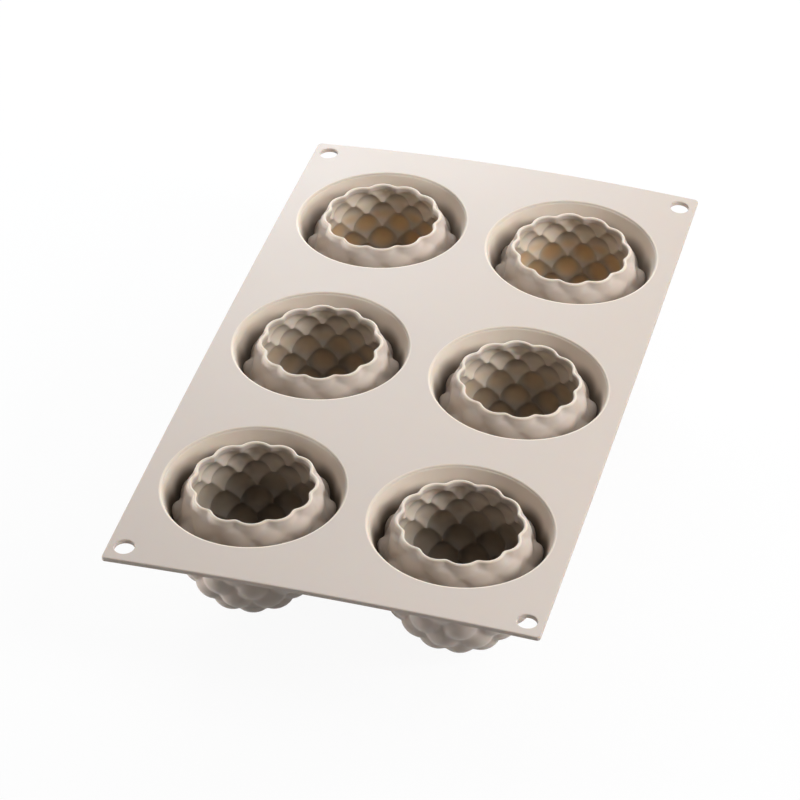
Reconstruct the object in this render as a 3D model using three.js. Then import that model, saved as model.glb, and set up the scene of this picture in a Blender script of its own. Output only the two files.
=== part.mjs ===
// Silicone mould for six berry-shaped cakes: a thin flexible sheet with two columns of three cavities.
// Each cavity is a cup with a scalloped rim that stands free inside a round groove of the sheet.
// One moulding in reality, built here zone by zone: sheet, groove walls and cups. Millimetres, +Z up.
// The origin is under the middle of the sheet, on the surface that the six cups stand on.
import * as THREE from "three";

// Cavity: an egg-shaped hollow, widest at the belly, dimpled by rows of round drupelets.
const BERRY_RADIUS = 30;
const BERRY_DEPTH = 55;
const BELLY_DEPTH = 25;
const RIM_RADIUS = 24.7;
const RIM_RISE = 1.6;
const RIM_WALL = 1.4;
const WALL = 1.8;
const FOOT_RADIUS = 3.2;

// Drupelets: full rows share one count and alternate by half a pitch, with a ring and one more below.
// The rim and the outside show only a share of their depth inside. The upper rows are placed by shares
// of the egg's tilt at the sheet, the lower ones by degrees of tilt.
const ROW_COUNT = 12;
const POLE_RING_COUNT = 6;
const DRUPELET_RADIUS = 8.5;
const RIM_SOFTNESS = 0.9;
const OUTSIDE_SOFTNESS = 0.7;
const UPPER_ROWS = { first: 0.96, step: -0.29, count: 4 };
const LOWER_ROWS = { first: -12, step: -18, count: 3 };
const POLE_RING_TILT = -69;

// Groove round each cup, and the sheet that carries the cups.
const MOAT_DEPTH = 14;
const MOAT_FLOOR_WIDTH = 1.7;
const MOAT_FLARE = 4;
const SHEET_THICKNESS = 2;
const COLUMNS = 2;
const ROWS = 3;
const LAND_ACROSS = 10;
const LAND_ALONG = 20;
const MARGIN_SIDE = 7.5;
const MARGIN_END = 17.5;
const CORNER_RADIUS = 1.5;

// Hanging hole in each corner of the sheet.
const HOLE_DIAMETER = 8;
const HOLE_FROM_SIDE = 7;
const HOLE_FROM_END = 8;

// Facets round a cavity, round the outside of a cup, round a groove wall, round a hole and round a corner.
const CAVITY_FACETS = 4 * ROW_COUNT;
const OUTSIDE_FACETS = 2 * ROW_COUNT;
const GROOVE_FACETS = 32;
const HOLE_FACETS = 16;
const CORNER_FACETS = 3;

const sheetTop = BERRY_DEPTH + WALL;
const cupOutsideRadius = BERRY_RADIUS + WALL;
const moatFloorRadius = cupOutsideRadius + MOAT_FLOOR_WIDTH;
const mouthRadius = moatFloorRadius + MOAT_FLARE;
const pitchAcross = 2 * mouthRadius + LAND_ACROSS;
const pitchAlong = 2 * mouthRadius + LAND_ALONG;
const sheetWidth = (COLUMNS - 1) * pitchAcross + 2 * (mouthRadius + MARGIN_SIDE);
const sheetLength = (ROWS - 1) * pitchAlong + 2 * (mouthRadius + MARGIN_END);
const halfPitch = Math.PI / ROW_COUNT;

const silicone = new THREE.MeshStandardMaterial({ color: 0xd3c6bc, roughness: 0.55, metalness: 0 });

// The smooth egg under the drupelets: radius, height and outward normal at a tilt above the belly.
// Its upper half is as tall as lets it pass through the rim's radius at the sheet.
const sheetTilt = Math.acos(RIM_RADIUS / BERRY_RADIUS);
const upperHalf = BELLY_DEPTH / Math.sin(sheetTilt);

function eggAt(tilt) {
  const halfHeight = tilt > 0 ? upperHalf : BERRY_DEPTH - BELLY_DEPTH;
  const normal = new THREE.Vector2(Math.cos(tilt) / BERRY_RADIUS, Math.sin(tilt) / halfHeight).normalize();
  const point = new THREE.Vector2(BERRY_RADIUS * Math.cos(tilt), halfHeight * Math.sin(tilt) - BELLY_DEPTH);
  return { point, normal };
}

function around(radius, height, azimuth) {
  return new THREE.Vector3(radius * Math.cos(azimuth), radius * Math.sin(azimuth), height);
}

// Tilts of the full rows, from the rim down, and the centre of every drupelet on the egg.
const steps = ({ first, step, count }) => Array.from({ length: count }, (_, i) => first + i * step);
const rowTilts = [
  ...steps(UPPER_ROWS).map((share) => share * sheetTilt),
  ...steps(LOWER_ROWS).map(THREE.MathUtils.degToRad),
];
const poleRingTilt = THREE.MathUtils.degToRad(POLE_RING_TILT);

function drupeletCentres() {
  const centres = [around(0, -BERRY_DEPTH, 0)];
  const addRow = (tilt, count, start) => {
    const { point } = eggAt(tilt);
    for (let i = 0; i < count; i++) centres.push(around(point.x, point.y, start + (i * 2 * Math.PI) / count));
  };
  rowTilts.forEach((tilt, row) => addRow(tilt, ROW_COUNT, row % 2 ? 0 : halfPitch));
  addRow(poleRingTilt, POLE_RING_COUNT, 0);
  return centres;
}
const centres = drupeletCentres();

// How far a drupelet's round surface falls short of the egg, at a distance from its centre.
function dip(distance) {
  const reach = Math.min(distance, DRUPELET_RADIUS);
  const sphere = DRUPELET_RADIUS - Math.sqrt(DRUPELET_RADIUS ** 2 - reach ** 2);
  return sphere - reach ** 2 / (2 * BERRY_RADIUS);
}

// A point of the dimpled skin: the egg grown by an offset, drawn in between the drupelets.
function skinPoint(tilt, azimuth, offset, softness) {
  const { point, normal } = eggAt(tilt);
  const onEgg = around(point.x, point.y, azimuth);
  const nearest = Math.min(...centres.map((centre) => centre.distanceTo(onEgg)));
  point.addScaledVector(normal, offset - softness * dip(nearest));
  return around(point.x, point.y, azimuth);
}

// Radius of the scalloped rim: lobes over the first row, notches between them.
function rimRadius(azimuth) {
  const fromLobe = Math.abs((azimuth % (2 * halfPitch)) - halfPitch);
  return RIM_RADIUS - RIM_SOFTNESS * dip(2 * RIM_RADIUS * Math.sin(fromLobe / 2));
}

function ring(count, place) {
  return Array.from({ length: count }, (_, i) => place((i * 2 * Math.PI) / count));
}

// Tilts where the cavity has a ring of facets: every row, and halfway between the rows of the upper part.
function cavityTilts() {
  const tilts = [];
  rowTilts.forEach((tilt, row) => {
    tilts.push(tilt);
    if (row <= UPPER_ROWS.count) tilts.push((tilt + rowTilts[row + 1]) / 2);
  });
  return [...tilts, poleRingTilt];
}

// Tilts where the neck has a ring of facets: the rows above the groove's floor, and halfway between them.
function neckTilts(floorTilt) {
  const rows = rowTilts.filter((tilt) => tilt > floorTilt);
  return rows.flatMap((tilt, row) => (row ? [(rows[row - 1] + tilt) / 2, tilt] : [tilt]));
}

// Closed skin through a list of rings, with a point on the axis at both ends.
// A ring may have half the facets of the one before it, and each facet is split along its inner ridge.
function loft(rings, firstPole, lastPole) {
  const vertices = [firstPole, ...rings.flat(), lastPole];
  const starts = [];
  rings.reduce((start, points) => {
    starts.push(start);
    return start + points.length;
  }, 1);
  const triangles = [];
  const fan = (pole, level, flip) => {
    const count = rings[level].length;
    for (let i = 0; i < count; i++) {
      const pair = [starts[level] + i, starts[level] + ((i + 1) % count)];
      triangles.push(pole, ...(flip ? pair.reverse() : pair));
    }
  };
  const radiusOf = (index) => Math.hypot(vertices[index].x, vertices[index].y);
  const band = (level) => {
    const near = rings[level].length;
    const far = rings[level + 1].length;
    const step = near / far;
    const a = (i) => starts[level] + (i % near);
    const b = (i) => starts[level + 1] + (i % far);
    for (let i = 0; i < far; i++) {
      if (step === 2) {
        triangles.push(a(2 * i), b(i), a(2 * i + 1), a(2 * i + 1), b(i), b(i + 1));
        triangles.push(a(2 * i + 1), b(i + 1), a(2 * i + 2));
      } else if (radiusOf(a(i)) + radiusOf(b(i + 1)) < radiusOf(a(i + 1)) + radiusOf(b(i))) {
        triangles.push(a(i), b(i), b(i + 1), a(i), b(i + 1), a(i + 1));
      } else {
        triangles.push(a(i), b(i), a(i + 1), a(i + 1), b(i), b(i + 1));
      }
    }
  };
  fan(0, 0, false);
  for (let level = 0; level + 1 < rings.length; level++) band(level);
  fan(vertices.length - 1, rings.length - 1, true);
  const geometry = new THREE.BufferGeometry().setFromPoints(vertices);
  geometry.setIndex(triangles);
  geometry.computeVertexNormals();
  return geometry;
}

// One cup: cavity, scalloped rim, dimpled neck down to the groove's floor, seat flange and dimpled outside.
function cupGeometry() {
  const inside = cavityTilts()
    .reverse()
    .map((tilt) => ring(CAVITY_FACETS, (azimuth) => skinPoint(tilt, azimuth, 0, 1)));
  const rimInside = ring(CAVITY_FACETS, (azimuth) => around(rimRadius(azimuth), RIM_RISE, azimuth));
  const plain = (radius, height) => ring(OUTSIDE_FACETS, (azimuth) => around(radius, height, azimuth));

  const outsideSkin = (tilt) =>
    ring(OUTSIDE_FACETS, (azimuth) => skinPoint(tilt, azimuth, WALL, OUTSIDE_SOFTNESS));
  const rimOutside = ring(OUTSIDE_FACETS, (azimuth) =>
    around(rimRadius(azimuth) + RIM_WALL, RIM_RISE, azimuth),
  );
  const floorTilt = Math.asin((BELLY_DEPTH - MOAT_DEPTH) / upperHalf);
  const neckFoot = outsideSkin(floorTilt).map((point) => point.setZ(-MOAT_DEPTH));
  const neck = [rimOutside, ...neckTilts(floorTilt).map(outsideSkin), neckFoot];
  const flangeRadius = moatFloorRadius + WALL;
  const flange = [
    plain(flangeRadius, -MOAT_DEPTH),
    plain(flangeRadius - WALL / 2, -MOAT_DEPTH - WALL),
    plain(cupOutsideRadius, -MOAT_DEPTH - WALL),
  ];
  const outsideTilts = [...rowTilts.slice(UPPER_ROWS.count - 1), poleRingTilt];
  const outside = outsideTilts.map(outsideSkin);
  const foot = plain(FOOT_RADIUS, -BERRY_DEPTH - WALL);
  return loft(
    [...inside, rimInside, ...neck, ...flange, ...outside, foot],
    around(0, -BERRY_DEPTH, 0),
    around(0, -BERRY_DEPTH - WALL, 0),
  );
}

// Tapered wall of one groove: it stands on the cup's flange and meets the sheet's underside.
function grooveWallGeometry() {
  const bottom = -MOAT_DEPTH;
  const top = -SHEET_THICKNESS;
  const profile = [
    [moatFloorRadius, bottom],
    [moatFloorRadius + WALL, bottom],
    [mouthRadius + WALL, top],
    [mouthRadius, top],
    [moatFloorRadius, bottom],
  ].map(([radius, height]) => new THREE.Vector2(radius, height));
  // A lathe turns its profile about Y, so the ring is stood up afterwards.
  return new THREE.LatheGeometry(profile, GROOVE_FACETS).rotateX(Math.PI / 2);
}

function roundHole(x, y, radius, facets) {
  const points = Array.from({ length: facets }, (_, i) => {
    const azimuth = (i * 2 * Math.PI) / facets;
    return new THREE.Vector2(x + radius * Math.cos(azimuth), y + radius * Math.sin(azimuth));
  });
  return new THREE.Path(points);
}

// Places of the cups, column by column from the left and row by row from the front.
const cupPlaces = [];
for (let column = 0; column < COLUMNS; column++) {
  for (let row = 0; row < ROWS; row++) {
    const x = (column - (COLUMNS - 1) / 2) * pitchAcross;
    const y = (row - (ROWS - 1) / 2) * pitchAlong;
    cupPlaces.push({ x, y, name: `${["front", "middle", "back"][row]}_${["left", "right"][column]}` });
  }
}

// The flat sheet with a mouth over every groove and a hanging hole in every corner.
function sheetGeometry() {
  const right = sheetWidth / 2;
  const back = sheetLength / 2;
  const outline = new THREE.Shape();
  const corners = [[right, -back], [right, back], [-right, back], [-right, -back]];
  corners.forEach(([x, y], i) => {
    const start = (i - 1) * (Math.PI / 2);
    const centreX = x - Math.sign(x) * CORNER_RADIUS;
    const centreY = y - Math.sign(y) * CORNER_RADIUS;
    outline.absarc(centreX, centreY, CORNER_RADIUS, start, start + Math.PI / 2);
    outline.holes.push(
      roundHole(
        x - Math.sign(x) * HOLE_FROM_SIDE,
        y - Math.sign(y) * HOLE_FROM_END,
        HOLE_DIAMETER / 2,
        HOLE_FACETS,
      ),
    );
  });
  cupPlaces.forEach(({ x, y }) => outline.holes.push(roundHole(x, y, mouthRadius, GROOVE_FACETS)));
  return new THREE.ExtrudeGeometry(outline, {
    depth: SHEET_THICKNESS,
    bevelEnabled: false,
    curveSegments: CORNER_FACETS,
  });
}

function solid(name, geometry) {
  const mesh = new THREE.Mesh(geometry, silicone);
  mesh.name = name;
  return mesh;
}

const mould = new THREE.Group();
mould.position.z = sheetTop;

const sheet = solid("top_sheet", sheetGeometry());
sheet.position.z = -SHEET_THICKNESS;
mould.add(sheet);

cupPlaces.forEach(({ x, y, name }) => {
  const station = new THREE.Group();
  station.position.set(x, y, 0);
  station.add(solid(`groove_wall_${name}`, grooveWallGeometry()));
  station.add(solid(`berry_cup_${name}`, cupGeometry()));
  mould.add(station);
});

const root = new THREE.Group();
root.add(mould);

export default root;
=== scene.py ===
from math import acos, atan, cos, hypot, pi, radians, sin, sqrt

import bpy
import numpy as np
from mathutils import Matrix, Vector
from mathutils.geometry import delaunay_2d_cdt


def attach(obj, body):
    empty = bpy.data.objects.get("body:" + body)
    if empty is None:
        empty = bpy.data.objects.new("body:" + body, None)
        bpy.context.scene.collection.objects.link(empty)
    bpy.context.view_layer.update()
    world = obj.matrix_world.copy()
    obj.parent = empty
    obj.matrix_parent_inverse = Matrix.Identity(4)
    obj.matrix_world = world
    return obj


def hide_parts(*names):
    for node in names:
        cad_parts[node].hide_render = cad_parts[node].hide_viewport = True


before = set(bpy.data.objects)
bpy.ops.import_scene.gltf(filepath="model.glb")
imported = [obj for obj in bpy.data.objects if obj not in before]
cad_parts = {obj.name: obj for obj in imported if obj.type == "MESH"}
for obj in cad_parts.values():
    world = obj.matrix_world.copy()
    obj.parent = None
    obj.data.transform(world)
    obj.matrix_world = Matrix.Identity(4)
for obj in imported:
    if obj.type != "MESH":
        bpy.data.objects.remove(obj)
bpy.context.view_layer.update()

# Sizes in millimetres. Heights in the profiles are measured from the top of the sheet.
MM = 0.001
SHEET_TOP = 56.8
SHEET_WIDTH, SHEET_LENGTH, SHEET_THICKNESS = 175.0, 300.0, 2.0
CORNER_RADIUS = 1.5
PITCH_X, PITCH_Y = 85.0, 95.0
COLUMNS = {"left": -0.5, "right": 0.5}
RANKS = {"front": -1, "middle": 0, "back": 1}
HOLE_RADIUS, HOLE_TOP_ROUND, HOLE_BOTTOM_ROUND = 4.0, 0.4, 0.3
HOLE_X, HOLE_Y = 80.5, 142.0
EDGE_ROUND = 0.5

# The soft sheet doesn't lie quite flat. How far it stands above its level, in mm, at its
# left side, middle and right side: across its front, its middle and its back.
RISES = ((-1.0, 1.5, 0.5), (0.0, 1.5, -3.0), (-4.0, 0.5, -1.5))

# The berry: an egg whose skin is drawn in between its drupelets.
BERRY_RADIUS, BERRY_DEPTH, BELLY_DEPTH = 30.0, 55.0, 25.0
RIM_RADIUS, RIM_RISE, RIM_WALL = 24.6, 1.6, 1.5
WALL = 1.7
DRUPELET_RADIUS = 8.5
DRUPELETS_AROUND = 12
ROW_TILTS = (33.2, 24.0, 14.6, 5.4, -8.5, -26.0, -44.5)
POLE_RING_TILT, POLE_RING_COUNT = -67.0, 6
UPPER_REACH = BELLY_DEPTH / sqrt(1 - (RIM_RADIUS / BERRY_RADIUS) ** 2)
LOWER_REACH = BERRY_DEPTH - BELLY_DEPTH
LEDGE, NECK_TOP = -1.3, -0.9

# How round the ridges between drupelets are, the share of their dip that each wall takes, and
# the share of a drupelet's radius past which a dip grows no deeper.
INSIDE_FILLET, RIM_FILLET, OUTSIDE_FILLET = 0.15, 4.0, 3.0
INSIDE_DRAW, RIM_DRAW, NECK_DRAW, OUTSIDE_DRAW = 1.0, 1.1, 0.4, 1.0
DIP_LIMIT = 0.95

# The neck's own form, and the depths between which one form goes over into the next.
NECK_FOOT_FLARE, NECK_LIFT = 2.4, 1.8
SHARP_RANGE, NECK_TOP_RANGE, NECK_LOW_RANGE = (0.8, 1.5), (0.0, 3.5), (4.0, 9.0)
FLOOR_DROP_RANGE, FLARE_RANGE = (6.0, 12.0), (8.0, 12.2)

# The groove round each berry, from its floor up to the mouth in the sheet.
MOUTH_RADIUS, MOUTH_ROUND = 37.5, 0.9
GROOVE_SLOPE, GROOVE_WALL_DEPTH, GROOVE_FLOOR_SAG = 0.31, 12.0, 0.9
GROOVE_FLOOR_DROP = 1.5
GROOVE_WALL_ACROSS = WALL * hypot(1, GROOVE_SLOPE)
MOUTH_TURN = pi / 2 - atan(GROOVE_SLOPE)
GROOVE_WALL_TOP = (MOUTH_RADIUS - MOUTH_ROUND * sin(MOUTH_TURN), MOUTH_ROUND * (cos(MOUTH_TURN) - 1))
GROOVE_WALL_FOOT = (GROOVE_WALL_TOP[0] - GROOVE_SLOPE * (GROOVE_WALL_DEPTH + GROOVE_WALL_TOP[1]),
                    -GROOVE_WALL_DEPTH)
UNDER_JOIN, UNDER_BLEND = 3.2, 3.0

# How fine the meshes are: steps in mm, and numbers of points or facets.
INSIDE_STEP, NECK_STEP, UNDER_STEP, OUTSIDE_STEP = 0.45, 0.6, 0.8, 0.95
LIP_POINTS, FLOOR_POINTS, GROOVE_WALL_POINTS = 11, 12, 17
AROUND = 312
MOUTH_FACETS, HOLE_FACETS = 144, 40
TOP_ARC_POINTS, BOTTOM_ARC_POINTS, CORNER_POINTS = 7, 5, 7
OUTLINE_STEP, FACE_STEP, FACE_MARGIN = 5.0, 6.0, 3.5
MOUTH_CLEAR, HOLE_CLEAR = 4.0, 2.0
EDGE_MARGIN, UNDER_MARGIN, SEAM_STEP = 0.3, 0.35, 0.04
SAME_PLACE, SEAM_GAP = 1e-5, 1e-7

# Light and shade that the silicone's colour carries, after the photograph's light. A range
# is the depths below the top of the sheet between which a share comes in or goes out, and
# the lip's is heights above it.
DEEP_SHARE, DEEP_RANGE = 0.92, (6.5, 28.0)
POCKET_GLOW_RANGE, POCKET_GLOW_RADIUS = (13.0, 19.0), 5.6
COLLAR_LIGHT, COLLAR_RANGE, WALL_LIGHT_RANGE = 0.8, (2.0, 6.0), (24.0, 48.0)
SHADE_LOSS, SHADE_RANGE = 0.8, (10.0, 20.0)
LIP_LIGHT, LIP_LIGHT_RANGE = 0.75, (0.6, 1.5)
NECK_DEEP, NECK_DEEP_RANGE = 0.06, (-0.5, 2.0)
NECK_FOOT_DEEP, NECK_FOOT_DEEP_RANGE = 0.32, (3.0, 11.0)
GROOVE_DEEP_RANGE = (4.5, 10.5)
GROOVE_LIGHT, GROOVE_LIGHT_RANGE = 0.6, (4.5, 9.0)
MOUTH_GLINT, NEAR_GLINT = 0.7, 0.3

# How these shares turn with the side of a cup, and from the front of the mould to its back.
LIT_EAST, LIT_NORTH = -0.91, -0.42
SIDE_LIGHT, ROUND_LIGHT, FAR_LIGHT, FAR_CLEARING = 0.85, 0.2, 0.9, 0.35
FRONT_SHARE, BACK_SHARE, BACKLIT_LENGTH = 0.2, 0.8, 260.0
POCKET_HALF_HEIGHT, SHADE_START, SHADE_LIT_LOSS, LIT_SHADE_LOSS = 5.5, 0.35, 0.45, 0.7
LEVEL_FALL = 2.0
DEEP_BACK_LOSS = 0.4
POCKET_GLOW_SHARE, POCKET_GLOW_BACK_SHARE = 0.04, 0.95
SHADE_SHARE, SHADE_BACK_LOSS = 0.66, 0.16

# Colours as they are seen on a screen.
SKIN_COLOURS = (208, 194, 182), (214, 200, 189)
# the colours of painted light, painted shade in the recesses, a painted glow in the pockets and painted
# shade in the pockets' tops
LIT_COLOUR, HOLLOW_SHADE_COLOUR = (240, 226, 208), (80, 68, 51)
POCKET_GLOW_COLOUR, SHADE_COLOUR = (232, 197, 150), (84, 74, 66)

# The camera, in mm, stands where the photograph was taken from.
CAMERA_PLACE = (285.69, -1103.69, 946.36)
CAMERA_FORWARD = (-0.20121, 0.75572, -0.62322)
CAMERA_RIGHT = (0.96441, 0.26427, 0.0091)
CAMERA_LENS, CAMERA_SENSOR = 156.95, 36.0

# Softboxes: place and size in metres, watts, and a colour where it isn't white. All are aimed
# at the middle of the mould.
LAMP_AIM = (0, 0, 0.03)
LAMPS = {
    "top_softbox": ((0.0, 0.20, 0.68), (0.4, 0.4), 0.84),
    "right_high_softbox": ((0.60, -0.20, 0.85), (0.3, 0.3), 1.6),
    "back_softbox": ((-0.30, 0.88, 0.40), (0.5, 0.3), 7.0, (0.85, 0.93, 1.0)),
    "right_softbox": ((1.00, -0.10, 0.62), (0.35, 0.35), 6.7),
    "right_back_softbox": ((0.65, 0.78, 0.46), (0.35, 0.3), 2.4),
    "left_softbox": ((-0.75, 0.00, 0.60), (0.3, 0.3), 0.6),
    "left_fill": ((-0.9, -0.15, 0.07), (0.4, 0.12), 5.2),
}
WORLD_LIGHT = 0.08
FLOOR_REACH = 6.0
FLOOR_SEEN_TONE, FLOOR_LIT_TONE, FLOOR_WHITE_SHARE = 0.95, 0.60, 0.94


def thirds(place):
    """The shares of the near side, the middle and the far side at a place from -1 to 1."""
    return place * (place - 1) / 2, 1 - place * place, place * (place + 1) / 2


def flex(x, y):
    """How far the sheet stands above its flat level at a place, in mm."""
    across, along = thirds(x / (SHEET_WIDTH / 2)), thirds(y / (SHEET_LENGTH / 2))
    return sum(v * sum(u * rise for u, rise in zip(across, rises)) for v, rises in zip(along, RISES))


# Node trees

class Wire:
    """A node's output, whose arithmetic adds Math nodes to its tree."""

    def __init__(self, board, socket):
        self.board, self.socket = board, socket

    def math(self, operation, first, second=0.0, third=0.0):
        return self.board.node("ShaderNodeMath", {"operation": operation},
                               {0: first, 1: second, 2: third})

    def clamped(self):
        return self.math("MINIMUM", self.math("MAXIMUM", self, 0.0), 1.0)

    def __add__(self, other):
        return self.math("ADD", self, other)

    def __radd__(self, other):
        return self.math("ADD", other, self)

    def __sub__(self, other):
        return self.math("SUBTRACT", self, other)

    def __rsub__(self, other):
        return self.math("SUBTRACT", other, self)

    def __mul__(self, other):
        return self.math("MULTIPLY", self, other)

    def __rmul__(self, other):
        return self.math("MULTIPLY", other, self)

    def __truediv__(self, other):
        return self.math("DIVIDE", self, other)

    def __rtruediv__(self, other):
        return self.math("DIVIDE", other, self)

    def __pow__(self, other):
        return self.math("POWER", self, other)


class Board:
    """A node tree, to which nodes are added with their settings and inputs."""

    def __init__(self, tree):
        self.tree = tree

    def node(self, kind, settings=None, inputs=None, output=0):
        made = self.tree.nodes.new(kind)
        for name, value in (settings or {}).items():
            setattr(made, name, value)
        for key, value in (inputs or {}).items():
            for one in value if isinstance(value, list) else [value]:
                if isinstance(one, Wire):
                    self.tree.links.new(one.socket, made.inputs[key])
                else:
                    made.inputs[key].default_value = one
        return Wire(self, made.outputs[output])

    def vector(self, x, y, z):
        return self.node("ShaderNodeCombineXYZ", None, {0: x, 1: y, 2: z})

    def parts(self, vector):
        made = self.node("ShaderNodeSeparateXYZ", None, {0: vector}).socket.node
        return [Wire(self, socket) for socket in made.outputs]


# Materials

def linear(*srgb):
    """A colour as it is seen on a screen, in the renderer's linear values."""
    return tuple((c / 255 / 12.92 if c <= 10 else ((c / 255 + 0.055) / 1.055) ** 2.4)
                 for c in srgb) + (1.0,)


def silicone_material():
    """Matt silicone with a fine grain, whose colour carries the painted light and shade stored on the
    meshes.
    """
    material = bpy.data.materials.new("greige_silicone")
    material.use_nodes = True
    board = Board(material.node_tree)
    shader = material.node_tree.nodes["Principled BSDF"]
    place = board.node("ShaderNodeTexCoord", output="Object")
    cloud = board.node("ShaderNodeTexNoise", None,
                       {"Vector": place, "Scale": 18.0, "Detail": 4.0, "Roughness": 0.55})
    grain = board.node("ShaderNodeTexNoise", None,
                       {"Vector": place, "Scale": 900.0, "Detail": 3.0, "Roughness": 0.6})
    ripple = board.node("ShaderNodeTexNoise", None,
                        {"Vector": place, "Scale": 60.0, "Detail": 2.0, "Roughness": 0.5})
    hollow, thin, lit, shade = (board.node("ShaderNodeAttribute", {"attribute_name": name}, output="Fac")
                                for name in ("hollow", "thin", "lit", "shade"))
    _, along, _ = board.parts(place)
    backlit = (along / (BACKLIT_LENGTH * MM) + 0.5).clamped()

    def mixed(share, first, second):
        return board.node("ShaderNodeMix", {"data_type": "RGBA"}, {0: share, 6: first, 7: second}, output=2)

    colour = mixed(cloud, *(linear(*tone) for tone in SKIN_COLOURS))
    # painted light on the inner walls that face the light, the lip's top, the top of the groove's wall and
    # the mouths' edges
    colour = mixed(lit, colour, linear(*LIT_COLOUR))
    # painted shade in the cups' recesses, the groove and the neck's foot, weaker towards the back
    colour = mixed(hollow * (1 - DEEP_BACK_LOSS * backlit), colour, linear(*HOLLOW_SHADE_COLOUR))
    # a painted warm glow in the middles of the deep pockets, much stronger towards the back
    glowing = thin * (POCKET_GLOW_SHARE + POCKET_GLOW_BACK_SHARE * backlit * backlit)
    colour = mixed(glowing, colour, linear(*POCKET_GLOW_COLOUR))
    # painted shade in the tops of the pockets, a little weaker towards the back
    colour = mixed((SHADE_SHARE - SHADE_BACK_LOSS * backlit) * shade, colour, linear(*SHADE_COLOUR))
    board.tree.links.new(colour.socket, shader.inputs["Base Color"])
    roughness = 0.44 + 0.14 * cloud + 0.06 * grain
    board.tree.links.new(roughness.socket, shader.inputs["Roughness"])
    skin = grain * 0.25 + ripple
    bump = board.node("ShaderNodeBump", None,
                      {"Strength": 0.12, "Distance": 0.0004, "Height": skin})
    board.tree.links.new(bump.socket, shader.inputs["Normal"])
    shader.inputs["IOR"].default_value = 1.41
    shader.inputs["Specular IOR Level"].default_value = 0.45
    shader.inputs["Subsurface Weight"].default_value = 0.3
    shader.inputs["Subsurface Radius"].default_value = (1.0, 0.48, 0.24)
    shader.inputs["Subsurface Scale"].default_value = 0.0007
    return material


def seen_rays(board):
    """1 on the rays that see the white studio: the camera's, and those off gloss and through glass."""
    paths = board.node("ShaderNodeLightPath").socket.node
    seen = Wire(board, paths.outputs["Is Camera Ray"])
    for way in ("Is Glossy Ray", "Is Transmission Ray"):
        seen = seen.math("MAXIMUM", seen, Wire(board, paths.outputs[way]))
    return seen


def stage_material():
    """A floor that is seen nearly white and throws less light back on the mould."""
    material = bpy.data.materials.new("pale_floor")
    material.use_nodes = True
    nodes = material.node_tree.nodes
    nodes.remove(nodes["Principled BSDF"])
    board = Board(material.node_tree)
    seen = seen_rays(board)
    pale, grey = (board.node("ShaderNodeBsdfDiffuse", None, {"Color": (tone, tone, tone, 1.0)})
                  for tone in (FLOOR_SEEN_TONE, FLOOR_LIT_TONE))
    bare = board.node("ShaderNodeEmission", None, {"Color": (1.0, 1.0, 1.0, 1.0), "Strength": 1.0})
    white = board.node("ShaderNodeMixShader", None, {0: FLOOR_WHITE_SHARE, 1: pale, 2: bare})
    mixed = board.node("ShaderNodeMixShader", None, {0: seen, 1: grey, 2: white})
    board.tree.links.new(mixed.socket, nodes["Material Output"].inputs["Surface"])
    return material


# The profile of one station: berry, lip, neck, groove and their undersides

PROFILE_VALUES = ("fillet", "hollow", "pocket", "band", "glow", "shade")


def row(point, on_egg, push, fillet, hollow=0.0, pocket=0.0, band=0.0, glow=0.0, shade=0.0):
    """A profile's point, the place on the egg whose dip it takes, and where that pushes it. The
    last five are painted light and shade for the colour: painted shade by how deep a recess is,
    where pockets with slight walls get a painted glow, how much painted light falls on the inner
    wall, painted light that is there on every side, and painted shade in the pockets."""
    return (*point, *on_egg, *push, fillet, hollow, pocket, band, glow, shade)


def ramp(value, start, end):
    """0 before the start, 1 after the end, and smooth between them."""
    share = min(1.0, max(0.0, (value - start) / (end - start)))
    return share * share * (3 - 2 * share)


def egg(tilt):
    """A place on the egg and its outward direction, as (radius, height), tilt in radians."""
    reach = UPPER_REACH if tilt > 0 else LOWER_REACH
    r, z = BERRY_RADIUS * cos(tilt), reach * sin(tilt)
    nr, nz = cos(tilt) / BERRY_RADIUS, sin(tilt) / reach
    size = hypot(nr, nz)
    return np.array((r, z - BELLY_DEPTH)), np.array((nr, nz)) / size


def tilt_at(height):
    """The tilt at which the egg's upper half is at a height."""
    return pi / 2 - acos((height + BELLY_DEPTH) / UPPER_REACH)


def even_tilts(start, end, step):
    """Tilts from start to end, about step mm apart along the egg."""
    fine = np.linspace(start, end, 800)
    track = np.array([egg(t)[0] for t in fine])
    run = np.concatenate([[0], np.cumsum(np.hypot(*np.diff(track, axis=0).T))])
    count = max(3, int(round(run[-1] / step)) + 1)
    return np.interp(np.linspace(0, run[-1], count), run, fine)


def through(points, step):
    """Points about step mm apart on a smooth line through the given ones."""
    points = np.array(points, float)
    ends = np.vstack([2 * points[0] - points[1], points, 2 * points[-1] - points[-2]])
    line = []
    for a, b, c, d in zip(ends, ends[1:], ends[2:], ends[3:]):
        for t in np.linspace(0, 1, 12, endpoint=False):
            line.append(0.5 * (2 * b + (c - a) * t + (2 * a - 5 * b + 4 * c - d) * t * t
                               + (3 * b - a - 3 * c + d) * t ** 3))
    line = np.array(line + [points[-1]])
    run = np.concatenate([[0], np.cumsum(np.hypot(*np.diff(line, axis=0).T))])
    count = max(2, int(round(run[-1] / step)) + 1)
    at = np.linspace(0, run[-1], count)
    return np.column_stack([np.interp(at, run, line[:, k]) for k in (0, 1)])


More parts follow.
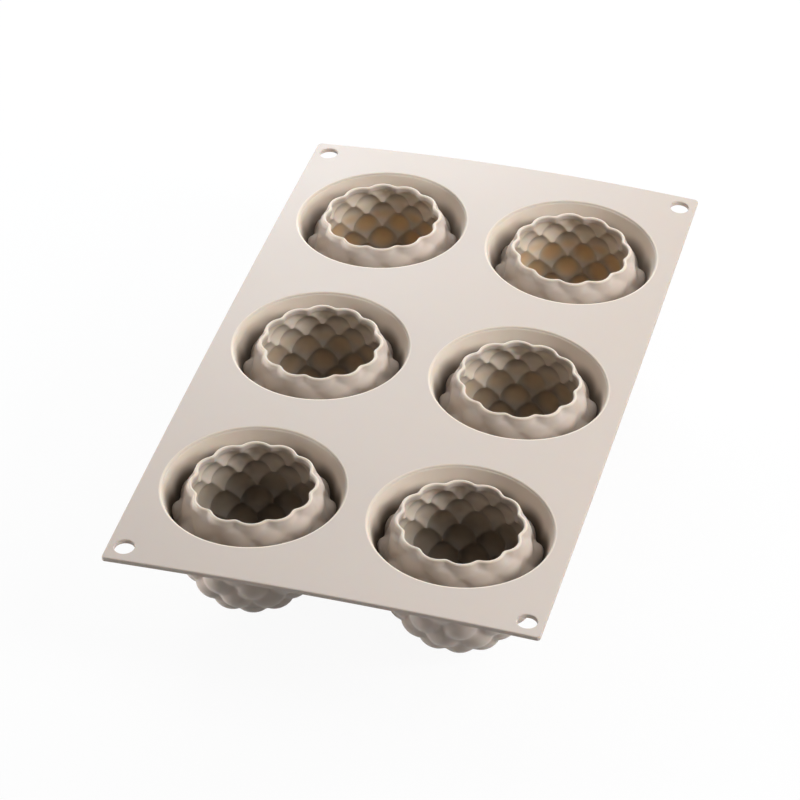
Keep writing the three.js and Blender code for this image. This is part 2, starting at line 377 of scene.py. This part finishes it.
def inside_rows():
    """The berry's inside, from its tip up to the ledge under the lip."""
    rows = []
    for tilt in even_tilts(-pi / 2, tilt_at(LEDGE), INSIDE_STEP):
        point, out = egg(tilt)
        depth = -point[1]
        fillet = RIM_FILLET + (INSIDE_FILLET - RIM_FILLET) * ramp(depth, *SHARP_RANGE)
        # the colour's painted light on the collar and the wall, painted shade deeper down and in the
        # pockets' tops, and a painted glow in the deep pockets
        collar = COLLAR_LIGHT - COLLAR_LIGHT * ramp(depth, *COLLAR_RANGE)
        rows.append(row(point, point, -out * INSIDE_DRAW, fillet,
                        hollow=DEEP_SHARE * ramp(depth, *DEEP_RANGE),
                        pocket=ramp(depth, *POCKET_GLOW_RANGE),
                        band=1 + collar - ramp(depth, *WALL_LIGHT_RANGE),
                        shade=1 - SHADE_LOSS * ramp(depth, *SHADE_RANGE)))
    return rows


def lip_rows():
    """The lip: up on its inside, over its round top and down to the neck."""
    at_rim = (RIM_RADIUS, egg(radians(ROW_TILTS[0]))[0][1])
    half = RIM_WALL / 2
    lip = [(RIM_RADIUS + 0.1, LEDGE + 0.35), (RIM_RADIUS, LEDGE + 0.8)]
    lip += [(RIM_RADIUS, z) for z in (0.0, 0.5)]
    lip += [(RIM_RADIUS + half - half * cos(a), RIM_RISE - half + half * sin(a))
            for a in np.linspace(0, pi, LIP_POINTS)]
    lip += [(RIM_RADIUS + RIM_WALL + 0.05, 0.6)]
    # painted light along the lip's round top
    return [row(point, at_rim, (-RIM_DRAW, 0), RIM_FILLET,
                glow=LIP_LIGHT * ramp(point[1], *LIP_LIGHT_RANGE)) for point in lip]


def neck_rows():
    """The neck, which keeps the berry's wall, down to the groove's floor."""
    rows = []
    for tilt in even_tilts(tilt_at(NECK_TOP), tilt_at(GROOVE_WALL_FOOT[1] - 0.2), NECK_STEP):
        skin, out = egg(tilt)
        depth = -skin[1]
        near = 1 - ramp(depth, *NECK_TOP_RANGE)
        low = ramp(depth, *NECK_LOW_RANGE)
        on_egg = egg(tilt_at(-depth - NECK_LIFT * (1 - near)))[0]
        skin = skin + (WALL + NECK_FOOT_FLARE * ramp(depth, *FLARE_RANGE)) * out
        drop = GROOVE_FLOOR_DROP * ramp(depth, *FLOOR_DROP_RANGE)
        down = np.array((out[1], -out[0]))
        draw = NECK_DRAW + (RIM_DRAW - NECK_DRAW) * near + (OUTSIDE_DRAW - NECK_DRAW) * low
        fillet = OUTSIDE_FILLET + (RIM_FILLET - OUTSIDE_FILLET) * near
        # painted shade, a little below the lip and more towards the neck's foot
        rows.append(row(skin, on_egg, down * drop - out * draw, fillet,
                        hollow=NECK_DEEP * ramp(depth, *NECK_DEEP_RANGE)
                        + NECK_FOOT_DEEP * ramp(depth, *NECK_FOOT_DEEP_RANGE)))
    return rows


def groove_rows(neck_end):
    """The groove's floor from the neck's last row, and its wall up into the sheet."""
    neck_foot, on_egg, neck_push = (np.array(neck_end[k:k + 2]) for k in (0, 2, 4))
    wall_foot, wall_top = np.array(GROOVE_WALL_FOOT), np.array(GROOVE_WALL_TOP)
    wall_push = -GROOVE_FLOOR_DROP * np.array((GROOVE_SLOPE, 1.0))
    rows = []
    for a in np.linspace(0, pi, FLOOR_POINTS)[1:-1]:
        share = (1 - cos(a)) / 2
        point = neck_foot + (wall_foot - neck_foot) * share - (0, GROOVE_FLOOR_SAG * sin(a))
        push = neck_push + (wall_push - neck_push) * share
        # painted shade all over the groove's floor
        rows.append(row(point, on_egg, push, OUTSIDE_FILLET, hollow=1.0))
    for share in np.linspace(0, 1, GROOVE_WALL_POINTS):
        point = wall_foot + (wall_top - wall_foot) * share
        depth = -point[1]
        # painted shade growing down the wall, and painted light near its top
        rows.append(row(point, on_egg, wall_push * (1 - share), OUTSIDE_FILLET,
                        hollow=ramp(depth, *GROOVE_DEEP_RANGE),
                        glow=GROOVE_LIGHT - GROOVE_LIGHT * ramp(depth, *GROOVE_LIGHT_RANGE)))
    for reach in (0.5, GROOVE_WALL_ACROSS + 0.6):
        rows.append(row(wall_top + (reach, -0.4), (BERRY_RADIUS, -BELLY_DEPTH), (0, 0), OUTSIDE_FILLET))
    return rows


def underside_rows():
    """The underside of the groove, and the berry's outside down to its foot."""
    def outside_wall(z):
        return GROOVE_WALL_FOOT[0] + GROOVE_WALL_ACROSS + GROOVE_SLOPE * (z - GROOVE_WALL_FOOT[1])

    def outside_skin(z, extra):
        skin, out = egg(tilt_at(z))
        return tuple(skin + (WALL + extra) * out)

    under = -SHEET_THICKNESS
    floor = GROOVE_WALL_FOOT[1] - GROOVE_FLOOR_SAG - GROOVE_FLOOR_DROP - WALL
    join = floor - UNDER_JOIN
    outer = [(outside_wall(under) + 1.5, under + 0.02), (outside_wall(under) + 0.35, under - 0.5)]
    outer += [(outside_wall(z), z) for z in (under - 2.2, -7.0, -10.0, GROOVE_WALL_FOOT[1])]
    outer += [(outside_wall(floor) - 0.9, floor + 0.55), (GROOVE_WALL_FOOT[0] - 0.3, floor - 0.15)]
    outer += [outside_skin(floor - 1.3, 0.45), outside_skin(join, 0.0)]
    rows = []
    for r, z in through(outer, UNDER_STEP)[:-1]:
        share = min(1.0, max(0.0, (floor - z) / UNDER_BLEND))
        on_egg, out = egg(tilt_at(z))
        rows.append(row((r, z), on_egg, -out * OUTSIDE_DRAW * share, OUTSIDE_FILLET))
    for tilt in even_tilts(tilt_at(join), -pi / 2, OUTSIDE_STEP):
        on_egg, out = egg(tilt)
        rows.append(row(on_egg + WALL * out, on_egg, -out * OUTSIDE_DRAW, OUTSIDE_FILLET))
    return rows


def station_profile():
    """The rows of a whole station, which starts and ends on the berry's axis."""
    neck = neck_rows()
    rows = np.array(inside_rows() + lip_rows() + neck + groove_rows(neck[-1]) + underside_rows())
    rows[0, 0] = rows[-1, 0] = 0.0
    return rows


def profile_mesh(rows):
    """The profile as a line of points that carry the rest of their rows as attributes."""
    mesh = bpy.data.meshes.new("station_profile")
    mesh.from_pydata([(r, 0, z) for r, z in rows[:, :2]],
                     [(i, i + 1) for i in range(len(rows) - 1)], [])
    for name, columns in (("egg", rows[:, 2:4]), ("push", rows[:, 4:6])):
        layer = mesh.attributes.new(name, "FLOAT_VECTOR", "POINT")
        layer.data.foreach_set("vector", np.insert(columns, 1, 0.0, axis=1).ravel())
    for column, name in enumerate(PROFILE_VALUES, start=6):
        layer = mesh.attributes.new(name, "FLOAT", "POINT")
        layer.data.foreach_set("value", rows[:, column].copy())
    return mesh


# The tree that makes a station from the profile

def drupelet_distances(board, on_egg):
    """Distances to the nearest centre in each of four sets of drupelets. Neighbours are always
    in different sets."""
    sets = {}
    rings = [(radians(t), DRUPELETS_AROUND) for t in ROW_TILTS]
    rings += [(radians(POLE_RING_TILT), POLE_RING_COUNT), (-pi / 2, 2)]
    for number, (tilt, count) in enumerate(rings):
        (ring_r, ring_z), _ = egg(tilt)
        for parity in (0, 1):
            turn = pi / count * (number % 2 == 0) + 2 * pi / count * parity
            circle = board.node("GeometryNodeMeshCircle", None,
                                {"Vertices": max(3, count // 2), "Radius": max(ring_r, 1e-4)})
            placed = board.node("GeometryNodeTransform", None,
                                {"Geometry": circle, "Translation": (0, 0, ring_z),
                                 "Rotation": (0, 0, turn)})
            sets.setdefault((number % 2, parity), []).append(placed)
    distances = []
    for group in sets.values():
        joined = board.node("GeometryNodeJoinGeometry", None, {0: group})
        distances.append(board.node("GeometryNodeProximity", {"target_element": "POINTS"},
                                    {0: joined, "Sample Position": on_egg}, output="Distance"))
    return distances


def height_in_pocket(board, far, height):
    """How far above its drupelet's centre a place is: -1 to 1 from a pocket's foot to its top."""
    shares = [distance.math("EXPONENT", -LEVEL_FALL * distance) for distance in far]
    levels = [board.parts(Wire(board, distance.socket.node.outputs["Position"]))[2] for distance in far]
    level = sum(share * centre for share, centre in zip(shares, levels)) / sum(shares)
    return (height - level) / POCKET_HALF_HEIGHT


def middle_glow(near):
    """A pocket's painted glow: 1 in its middle, falling to 0 where its wall gets thicker."""
    return near.math("MAXIMUM", 1 - (near / POCKET_GLOW_RADIUS) ** 3, 0.0)


def station_tree():
    """Turns a profile round the berry's axis and draws it in between the drupelets."""
    tree = bpy.data.node_groups.new("berry_station", "GeometryNodeTree")
    face = tree.interface
    face.new_socket("Profile", in_out="INPUT", socket_type="NodeSocketGeometry")
    for name, kind in (("Facets Around", "Int"), ("Profile Points", "Int"), ("Drupelet Radius", "Float"),
                       ("Egg Radius", "Float"), ("Centre X", "Float"), ("Centre Y", "Float"),
                       ("Level", "Float"), ("Finish", "Material")):
        face.new_socket(name, in_out="INPUT", socket_type="NodeSocket" + kind)
    face.new_socket("Station", in_out="OUTPUT", socket_type="NodeSocketGeometry")
    board = Board(tree)
    source = tree.nodes.new("NodeGroupInput")
    given = {socket.name: Wire(board, socket) for socket in source.outputs if socket.name}

    grid = board.node("GeometryNodeMeshGrid", None,
                      {"Vertices X": given["Facets Around"] + 1, "Vertices Y": given["Profile Points"]})
    index = board.node("GeometryNodeInputIndex")
    across = index.math("FLOOR", index / given["Profile Points"])
    along = index - across * given["Profile Points"]
    angle = across / given["Facets Around"] * (2 * pi)
    east, north = angle.math("COSINE", angle), angle.math("SINE", angle)

    def sampled(value, kind):
        return board.node("GeometryNodeSampleIndex", {"data_type": kind, "domain": "POINT"},
                          {"Geometry": given["Profile"], "Value": value, "Index": along})

    def stored(name, kind):
        value = board.node("GeometryNodeInputNamedAttribute", {"data_type": kind}, {"Name": name})
        return sampled(value, kind)

    r, _, z = board.parts(sampled(board.node("GeometryNodeInputPosition"), "FLOAT_VECTOR"))
    egg_r, _, egg_z = board.parts(stored("egg", "FLOAT_VECTOR"))
    push_r, _, push_z = board.parts(stored("push", "FLOAT_VECTOR"))
    fillet, hollow, pocket, band, glow, shade = (stored(name, "FLOAT") for name in PROFILE_VALUES)

    # the dip between drupelets, which leaves out the egg's own roundness
    far = drupelet_distances(board, board.vector(egg_r * east, egg_r * north, egg_z))
    near = far[0]
    for other in far[1:]:
        near = near.math("SMOOTH_MIN", near, other, fillet)
    near = near.math("MINIMUM", near, given["Drupelet Radius"] * DIP_LIMIT)
    bow = given["Drupelet Radius"] - (given["Drupelet Radius"] ** 2 - near * near) ** 0.5
    dip = bow - near * near / (2 * given["Egg Radius"])
    out_r, out_z = r + push_r * dip, z + push_z * dip
    x, y = out_r * east + given["Centre X"], out_r * north + given["Centre Y"]
    spot = board.vector(x * MM, y * MM, (out_z + given["Level"] + flex(x, y)) * MM)
    shaped = board.node("GeometryNodeSetPosition", None, {"Geometry": grid, "Position": spot})

    # what the colour carries: painted light on the left and far inner walls, and painted shade in the cups'
    # recesses and the tops of the pockets
    lit_side = north.math("MAXIMUM", LIT_NORTH * north + LIT_EAST * east, 0.0)
    far_side = north.math("MAXIMUM", north, 0.0)
    backlit = (y / BACKLIT_LENGTH + 0.5).clamped()
    above = height_in_pocket(board, far, egg_z)
    far_light = (ROUND_LIGHT + FAR_LIGHT * far_side) * (FRONT_SHARE + BACK_SHARE * backlit)
    lit = band * (SIDE_LIGHT * lit_side + far_light) + glow
    hollow = hollow * (1 - (SIDE_LIGHT * lit_side + FAR_CLEARING * far_side * backlit) * band)
    # painted shade in the tops of the pockets, less on the lit side
    shade = shade * (1 - SHADE_LIT_LOSS * lit_side) * (above + SHADE_START).clamped()
    # stored for the colour: painted shade, a painted glow in the pockets' middles, painted light and
    # painted shade
    for name, value in (("hollow", hollow), ("thin", pocket * middle_glow(near)),
                        ("lit", lit * (1 - LIT_SHADE_LOSS * shade)), ("shade", shade)):
        shaped = board.node("GeometryNodeStoreNamedAttribute", {"data_type": "FLOAT", "domain": "POINT"},
                            {"Geometry": shaped, "Name": name, "Value": value})

    closed = board.node("GeometryNodeMergeByDistance", None, {"Geometry": shaped, "Distance": SEAM_GAP})
    smooth = board.node("GeometryNodeSetShadeSmooth", None, {"Geometry": closed})
    real = board.node("GeometryNodeRealizeInstances", None, {"Geometry": smooth})
    finished = board.node("GeometryNodeSetMaterial", None,
                          {"Geometry": real, "Material": given["Finish"]})
    sink = tree.nodes.new("NodeGroupOutput")
    tree.links.new(finished.socket, sink.inputs[0])
    return tree


def make_station(name, tree, mesh, rows, centre, finish):
    """One cup with the groove round it, as a plain mesh."""
    piece = bpy.data.objects.new(name, mesh)
    bpy.context.collection.objects.link(piece)
    modifier = piece.modifiers.new("station", "NODES")
    modifier.node_group = tree
    values = {"Facets Around": AROUND, "Profile Points": len(rows), "Drupelet Radius": DRUPELET_RADIUS,
              "Egg Radius": BERRY_RADIUS, "Centre X": centre[0], "Centre Y": centre[1],
              "Level": SHEET_TOP, "Finish": finish}
    for item in tree.interface.items_tree:
        if item.name in values:
            modifier[item.identifier] = values[item.name]
    graph = bpy.context.evaluated_depsgraph_get()
    plain = bpy.data.meshes.new_from_object(piece.evaluated_get(graph))
    piece.modifiers.clear()
    piece.data = plain
    plain.name = name
    return piece


# The sheet

def circle_loop(x, y, radius, count):
    """An opening's points clockwise and the direction into the opening at each."""
    angles = np.arange(count) * (2 * pi / count)
    out = np.column_stack([np.cos(angles), np.sin(angles)])
    return (np.array((x, y)) + radius * out)[::-1], -out[::-1]


def outline_loop():
    """The sheet's outline anticlockwise and the outward direction at each point."""
    half = np.array((SHEET_WIDTH / 2, SHEET_LENGTH / 2)) - CORNER_RADIUS
    spots, outs = [], []
    corners = [(1, 1, 0), (-1, 1, 90), (-1, -1, 180), (1, -1, 270)]
    for k, (sx, sy, start) in enumerate(corners):
        for a in np.radians(start + np.linspace(0, 90, CORNER_POINTS)):
            out = np.array((cos(a), sin(a)))
            spots.append(half * (sx, sy) + CORNER_RADIUS * out)
            outs.append(out)
        nx, ny, _ = corners[(k + 1) % 4]
        end = half * (nx, ny) + CORNER_RADIUS * out
        begin = spots[-1]
        run = np.linalg.norm(end - begin)
        for share in np.linspace(0, 1, int(run / OUTLINE_STEP) + 2)[1:-1]:
            spots.append((1 - share) * begin + share * end)
            outs.append(out)
    return np.array(spots), np.array(outs)


def edge_section(top_round, bottom_round, slope=0.0, step_back=0.0):
    """How an edge runs from the top face to the bottom one: (reach out, height) pairs."""
    section = [(-top_round - EDGE_MARGIN, 0.0)]
    section += [(-top_round + top_round * sin(a), -top_round + top_round * cos(a))
                for a in np.linspace(0, pi / 2 - atan(slope), TOP_ARC_POINTS)]
    if step_back:
        section.append((section[-1][0] - step_back, section[-1][1] - step_back))
    low = -SHEET_THICKNESS
    r, z = section[-1]
    straight = low + bottom_round
    section.append((r + slope * (z - straight), straight))
    if bottom_round:
        r, z = section[-1]
        section += [(r - bottom_round + bottom_round * cos(a), straight - bottom_round * sin(a))
                    for a in np.linspace(0, pi / 2, BOTTOM_ARC_POINTS)[1:]]
        section.append((section[-1][0] - UNDER_MARGIN, low))
    return section


def face_places(length):
    """Places along a side of the sheet for the points inside its faces."""
    return np.arange(-length / 2 + FACE_MARGIN, length / 2 - FACE_MARGIN + 0.5, FACE_STEP)


def face_triangles(points, loops, inner, height):
    """Triangles that fill a flat face between its loops. The inner points join the others."""
    ring = [i for loop in loops for i in loop]
    belongs = [which for which, loop in enumerate(loops) for _ in loop]
    edges, start = [], 0
    for loop in loops:
        edges += [(start + k, start + (k + 1) % len(loop)) for k in range(len(loop))]
        start += len(loop)
    flat = [Vector(points[i][:2]) for i in ring] + [Vector(p) for p in inner]
    spots, _, triangles, kept, _, _ = delaunay_2d_cdt(flat, edges, [], 0, SAME_PLACE)
    number, owner = {}, {}
    for new, old in enumerate(kept):
        source = old[0] if old else None
        if source is not None and source < len(ring):
            number[new], owner[new] = ring[source], belongs[source]
        else:
            number[new], owner[new] = len(points), -1
            points.append((*spots[new], height))
    filled = []
    for triangle in triangles:
        owners = {owner[i] for i in triangle}
        # between points of one mouth or hole there is only its opening
        if len(owners) > 1 or owners.pop() <= 0:
            filled.append([number[i] for i in triangle])
    return filled


def make_sheet(finish):
    """The sheet with its mouths and corner holes, and painted light on the edges of the mouths."""
    points, faces, lit = [], [], []
    top_loops, bottom_loops = [], []

    def sweep(loop, section, glint=0.0, near_glint=0.0):
        spots, outs = loop
        first = len(points)
        count = len(spots)
        for ring, (reach, z) in enumerate(section):
            for spot, out in zip(spots, outs):
                points.append((*(spot + reach * out), z))
                # painted light on the round top of each mouth's edge, strongest on its near side
                lit.append((glint + near_glint * out[1]) * (1 <= ring <= TOP_ARC_POINTS))
        for ring in range(len(section) - 1):
            for k in range(count):
                a = first + ring * count + k
                b = first + ring * count + (k + 1) % count
                faces.append((a, a + count, b + count, b))
        top_loops.append(list(range(first, first + count)))
        last = first + (len(section) - 1) * count
        bottom_loops.append(list(range(last, last + count)))

    sweep(outline_loop(), edge_section(EDGE_ROUND, EDGE_ROUND))
    centres = [(c * PITCH_X, r * PITCH_Y) for c in COLUMNS.values() for r in RANKS.values()]
    for x, y in centres:
        sweep(circle_loop(x, y, MOUTH_RADIUS - MOUTH_ROUND, MOUTH_FACETS),
              edge_section(MOUTH_ROUND, 0.0, GROOVE_SLOPE, SEAM_STEP), MOUTH_GLINT, NEAR_GLINT)
    for sx in (-1, 1):
        for sy in (-1, 1):
            sweep(circle_loop(sx * HOLE_X, sy * HOLE_Y, HOLE_RADIUS, HOLE_FACETS),
                  edge_section(HOLE_TOP_ROUND, HOLE_BOTTOM_ROUND))

    # the two flat faces, with inner points that let them bend
    inner = [(x, y) for x in face_places(SHEET_WIDTH) for y in face_places(SHEET_LENGTH)
             if all(hypot(x - cx, y - cy) > MOUTH_RADIUS + MOUTH_CLEAR for cx, cy in centres)
             and hypot(abs(x) - HOLE_X, abs(y) - HOLE_Y) > HOLE_RADIUS + HOLE_CLEAR]
    for loops, height, up in ((top_loops, 0.0, True), (bottom_loops, -SHEET_THICKNESS, False)):
        for corners in face_triangles(points, loops, inner, height):
            a, b, c = (np.array(points[i][:2]) for i in corners)
            turn = (b[0] - a[0]) * (c[1] - a[1]) - (b[1] - a[1]) * (c[0] - a[0])
            if (turn > 0) != up:
                corners.reverse()
            faces.append(corners)
    flat = np.array(points)
    flat[:, 2] += SHEET_TOP + flex(flat[:, 0], flat[:, 1])
    mesh = bpy.data.meshes.new("top_sheet_skin")
    mesh.from_pydata((flat * MM).tolist(), [], faces)
    mesh.validate()
    # the painted light on the mouths' edges, for the colour
    layer = mesh.attributes.new("lit", "FLOAT", "POINT")
    layer.data.foreach_set("value", lit + [0.0] * (len(points) - len(lit)))
    mesh.shade_smooth()
    mesh.materials.append(finish)
    piece = bpy.data.objects.new("top_sheet_skin", mesh)
    bpy.context.collection.objects.link(piece)
    return piece


# The stage: floor, camera and lights

def make_stage():
    corners = ((-1, -1), (1, -1), (1, 1), (-1, 1))
    mesh = bpy.data.meshes.new("floor")
    mesh.from_pydata([(sx * FLOOR_REACH, sy * FLOOR_REACH, 0) for sx, sy in corners],
                     [], [(0, 1, 2, 3)])
    mesh.materials.append(stage_material())
    floor = bpy.data.objects.new("floor", mesh)
    bpy.context.collection.objects.link(floor)


def make_camera():
    place = Vector(CAMERA_PLACE) * MM
    forward = Vector(CAMERA_FORWARD).normalized()
    right = Vector(CAMERA_RIGHT).normalized()
    up = right.cross(forward).normalized()
    right = forward.cross(up)
    camera = bpy.data.cameras.new("camera")
    camera.sensor_width = CAMERA_SENSOR
    camera.lens = CAMERA_LENS
    camera.clip_end = 50.0
    holder = bpy.data.objects.new("camera", camera)
    holder.matrix_world = Matrix.Translation(place) @ Matrix((right, up, -forward)).transposed().to_4x4()
    bpy.context.collection.objects.link(holder)
    bpy.context.scene.camera = holder


def add_softbox(name, place, size, power, colour=(1.0, 1.0, 1.0)):
    lamp = bpy.data.lights.new(name, "AREA")
    lamp.shape = "RECTANGLE"
    lamp.size, lamp.size_y = size
    lamp.energy = power
    lamp.color = colour
    holder = bpy.data.objects.new(name, lamp)
    holder.location = place
    holder.rotation_euler = (Vector(LAMP_AIM) - Vector(place)).to_track_quat("-Z", "Y").to_euler()
    bpy.context.collection.objects.link(holder)


def make_lights():
    world = bpy.data.worlds.new("studio")
    bpy.context.scene.world = world
    world.use_nodes = True
    board = Board(world.node_tree)
    background = world.node_tree.nodes["Background"]
    background.inputs["Color"].default_value = (1.0, 1.0, 1.0, 1.0)
    strength = WORLD_LIGHT + seen_rays(board) * (1 - WORLD_LIGHT)
    board.tree.links.new(strength.socket, background.inputs["Strength"])
    for name, lamp in LAMPS.items():
        add_softbox(name, *lamp)
    bpy.context.scene.view_settings.view_transform = "Standard"


silicone = silicone_material()
rows = station_profile()
tree = station_tree()
profile = profile_mesh(rows)
sheet = make_sheet(silicone)
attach(sheet, "root")
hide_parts("top_sheet")
for rank, along in RANKS.items():
    for side, across in COLUMNS.items():
        spot = f"{rank}_{side}"
        station = make_station("berry_station_" + spot, tree, profile, rows,
                               (across * PITCH_X, along * PITCH_Y), silicone)
        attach(station, "root")
        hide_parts("berry_cup_" + spot, "groove_wall_" + spot)
make_stage()
make_camera()
make_lights()
